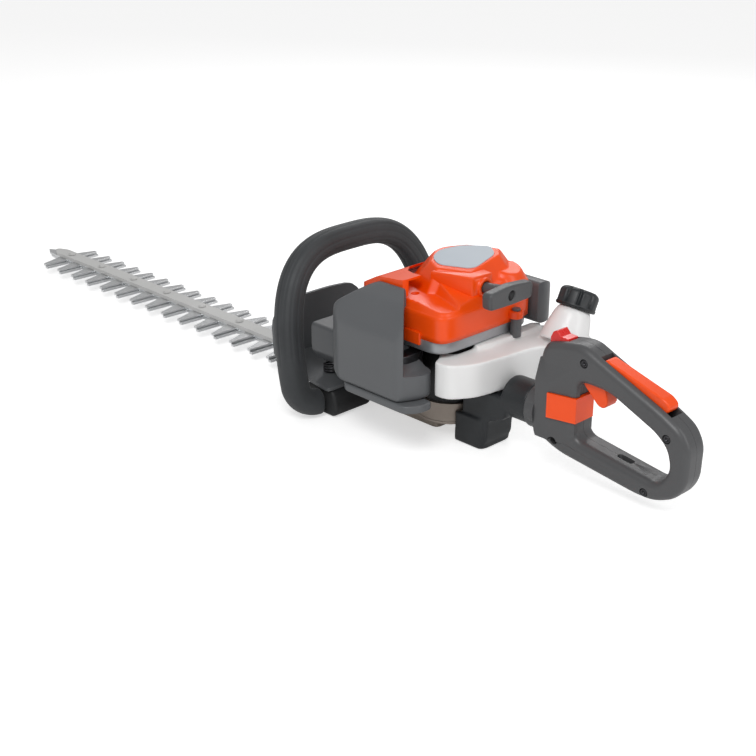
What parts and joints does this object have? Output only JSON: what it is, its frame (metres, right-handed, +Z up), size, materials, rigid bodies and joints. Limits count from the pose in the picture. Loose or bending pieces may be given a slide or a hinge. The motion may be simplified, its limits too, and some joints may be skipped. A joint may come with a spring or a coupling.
{
  "type": "hedge trimmer",
  "caption": "Petrol hedge trimmer with a double-sided reciprocating blade, loop front handle, guard, rope starter, and a swivelling rear handle.",
  "frame": {"origin": "bottom centre of the whole machine's box, on the surface it stands on", "axes": "+X towards the blade tip, +Y to the machine's left, +Z up"},
  "size_m": [1.1088, 0.247, 0.1933],
  "materials": {
    "blade_steel": "ground",
    "dark_steel": "blackened",
    "bright_steel": "machined",
    "cast_alloy": "cast, satin",
    "ceramic": "glazed",
    "orange_plastic": "semi-gloss moulded",
    "grey_plastic": "fine moulded texture",
    "dark_plastic": "moulded",
    "handle_plastic": "moulded",
    "grip_rubber": "ribbed grip",
    "silver_frame": "satin silver",
    "tank_plastic": "translucent white",
    "red_plastic": "moulded",
    "label": "blank silver film",
    "filter_paper": "pleated paper"
  },
  "bodies": {
    "chassis": {"guide_bar": "blade_steel", "blade_bolt_1": "dark_steel", "blade_bolt_2": "dark_steel", "blade_bolt_3": "dark_steel", "blade_bolt_4": "dark_steel", "blade_bolt_5": "dark_steel", "blade_bolt_6": "dark_steel", "blade_bolt_7": "dark_steel", "blade_bolt_8": "dark_steel", "muffler": "dark_steel", "recoil_spring": "dark_steel", "av_spring_left": "dark_steel", "av_spring_right": "dark_steel", "gear_case": "cast_alloy", "gear_case_cover": "cast_alloy", "crankcase": "cast_alloy", "cylinder": "cast_alloy", "carburetor": "cast_alloy", "spark_plug": "ceramic", "starter_housing": "orange_plastic", "front_cover": "orange_plastic", "muffler_cover": "grey_plastic", "air_filter_cover": "grey_plastic", "hand_guard": "grey_plastic", "cover_screw": "grey_plastic", "rear_bracket": "dark_plastic", "engine_bracket": "dark_plastic", "ignition_coil": "dark_plastic", "front_handle": "grip_rubber", "handle_base_left": "grip_rubber", "handle_base_right": "grip_rubber", "cover_frame": "silver_frame", "fuel_tank": "tank_plastic", "label_plate": "label", "air_filter": "filter_paper"},
    "upper_blade": {"upper_blade": "blade_steel"},
    "lower_blade": {"lower_blade": "blade_steel"},
    "main_gear": {"main_gear": "dark_steel"},
    "clutch_drum": {"clutch_drum": "dark_steel"},
    "crankshaft": {"crank_lower": "bright_steel", "crank_upper": "bright_steel", "flywheel": "cast_alloy", "clutch_shoes": "dark_steel"},
    "piston": {"piston": "cast_alloy"},
    "connecting_rod": {"connecting_rod": "bright_steel"},
    "starter_handle": {"starter_handle": "handle_plastic"},
    "starter_reel": {"starter_reel": "dark_plastic"},
    "fuel_cap": {"fuel_cap": "grip_rubber"},
    "choke_lever": {"choke_lever": "orange_plastic"},
    "primer_bulb": {"primer_bulb": "grip_rubber"},
    "rear_handle": {"rear_handle_left": "handle_plastic", "rear_handle_right": "handle_plastic", "handle_screw_1": "dark_steel", "handle_screw_2": "dark_steel", "handle_screw_3": "dark_steel"},
    "throttle_trigger": {"throttle_trigger": "orange_plastic"},
    "throttle_lockout": {"throttle_lockout": "orange_plastic"},
    "stop_switch": {"stop_switch": "red_plastic"},
    "swivel_lock": {"swivel_lock": "orange_plastic"}
  },
  "joints": [
    {"name": "upper_blade_slide", "type": "slide", "parent": "chassis", "child": "upper_blade", "axis": [1, 0, 0], "range_m": [-0.008, 0.008]},
    {"name": "lower_blade_slide", "type": "slide", "parent": "chassis", "child": "lower_blade", "axis": [1, 0, 0], "range_m": [-0.008, 0.008]},
    {"name": "main_gear_spin", "type": "hinge", "parent": "chassis", "child": "main_gear", "pos_m": [-0.21062, 0, 0.018], "axis": [0, 0, 1], "continuous": true},
    {"name": "clutch_drum_spin", "type": "hinge", "parent": "chassis", "child": "clutch_drum", "pos_m": [-0.24662, 0, 0.018], "axis": [0, 0, 1], "continuous": true},
    {"name": "crank_spin", "type": "hinge", "parent": "chassis", "child": "crankshaft", "pos_m": [-0.24662, 0, 0.018], "axis": [0, 0, 1], "continuous": true},
    {"name": "piston_slide", "type": "slide", "parent": "chassis", "child": "piston", "axis": [1, 0, 0], "range_m": [-0.022, 0]},
    {"name": "connecting_rod_swing", "type": "hinge", "parent": "piston", "child": "connecting_rod", "pos_m": [-0.19762, 0, 0.089], "axis": [0, 0, 1], "range_deg": [-16, 16]},
    {"name": "starter_pull", "type": "slide", "parent": "chassis", "child": "starter_handle", "axis": [-1, 0, 0], "range_m": [0, 0.5], "stiffness_N_per_m": 20, "springref_m": -0.05},
    {"name": "starter_reel_spin", "type": "hinge", "parent": "chassis", "child": "starter_reel", "pos_m": [-0.24662, 0, 0.018], "axis": [0, 0, 1], "range_deg": [0, 1433]},
    {"name": "fuel_cap_turn", "type": "hinge", "parent": "chassis", "child": "fuel_cap", "pos_m": [-0.34062, -0.086, 0.136], "axis": [0, -0.454, 0.891], "range_deg": [0, 360]},
    {"name": "choke_lever_turn", "type": "hinge", "parent": "chassis", "child": "choke_lever", "pos_m": [-0.24862, -0.105, 0.13], "axis": [0, 1, 0], "range_deg": [0, 60]},
    {"name": "primer_press", "type": "slide", "parent": "chassis", "child": "primer_bulb", "axis": [0, 1, 0], "range_m": [0, 0.003], "stiffness_N_per_m": 500},
    {"name": "rear_handle_swivel", "type": "hinge", "parent": "chassis", "child": "rear_handle", "pos_m": [-0.37862, 0, 0.063], "axis": [1, 0, 0], "range_deg": [-90, 90]},
    {"name": "throttle_trigger_squeeze", "type": "hinge", "parent": "rear_handle", "child": "throttle_trigger", "pos_m": [-0.42862, 0, 0.113], "axis": [0, 1, 0], "range_deg": [0, 14], "stiffness_Nm_per_rad": 0.8, "springref_deg": -2.86},
    {"name": "throttle_lockout_press", "type": "hinge", "parent": "rear_handle", "child": "throttle_lockout", "pos_m": [-0.45262, 0, 0.136], "axis": [0, 1, 0], "range_deg": [-6, 0], "stiffness_Nm_per_rad": 0.8, "springref_deg": 2.86},
    {"name": "stop_switch_rock", "type": "hinge", "parent": "rear_handle", "child": "stop_switch", "pos_m": [-0.39762, 0, 0.144], "axis": [0, 1, 0], "range_deg": [-6, 6]},
    {"name": "swivel_lock_slide", "type": "slide", "parent": "rear_handle", "child": "swivel_lock", "axis": [-1, 0, 0], "range_m": [0, 0.004], "stiffness_N_per_m": 800}
  ],
  "couplings": [
    {"joint": "lower_blade_slide", "follows": "upper_blade_slide", "ratio": -1},
    {"joint": "clutch_drum_spin", "follows": "main_gear_spin", "ratio": -3.8},
    {"joint": "starter_reel_spin", "follows": "starter_pull", "rad_per_m": 50}
  ]
}
